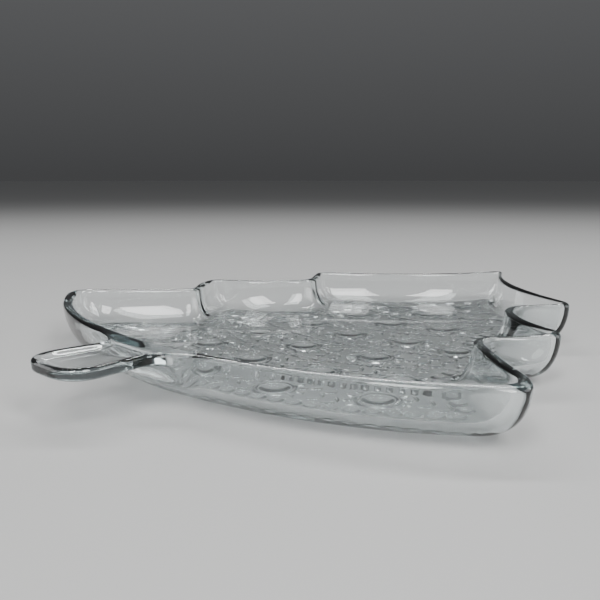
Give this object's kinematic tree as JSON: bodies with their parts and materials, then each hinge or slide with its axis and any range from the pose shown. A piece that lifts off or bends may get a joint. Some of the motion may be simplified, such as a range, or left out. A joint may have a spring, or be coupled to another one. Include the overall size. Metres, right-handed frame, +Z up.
{
  "type": "relish tray",
  "caption": "Clear pressed-glass relish tray in the outline of a fir tree, with a low flared wall, raised ornament under the floor and a trunk-shaped grip",
  "frame": {"origin": "under the middle of the overall box, on the surface that the tray stands on", "axes": "+Z up, +Y from the trunk grip to the apex of the tree, +X to the right of the tree seen from above with the apex away"},
  "size_m": [0.2702, 0.3242, 0.0225],
  "materials": {
    "clear_glass": "fire-polished clear pressed glass with a faint blue-green tint in thick edges"
  },
  "bodies": {
    "root": {"floor_plate": "clear_glass", "lower_bough_wall_right": "clear_glass", "middle_bough_wall_right": "clear_glass", "upper_bough_wall_right": "clear_glass", "lower_bough_wall_left": "clear_glass", "middle_bough_wall_left": "clear_glass", "upper_bough_wall_left": "clear_glass", "trunk_grip": "clear_glass", "bauble_feet": "clear_glass", "bauble_rings": "clear_glass", "bauble_rays": "clear_glass", "garland_beads": "clear_glass", "apex_star": "clear_glass", "border_beads": "clear_glass"}
  },
  "joints": []
}
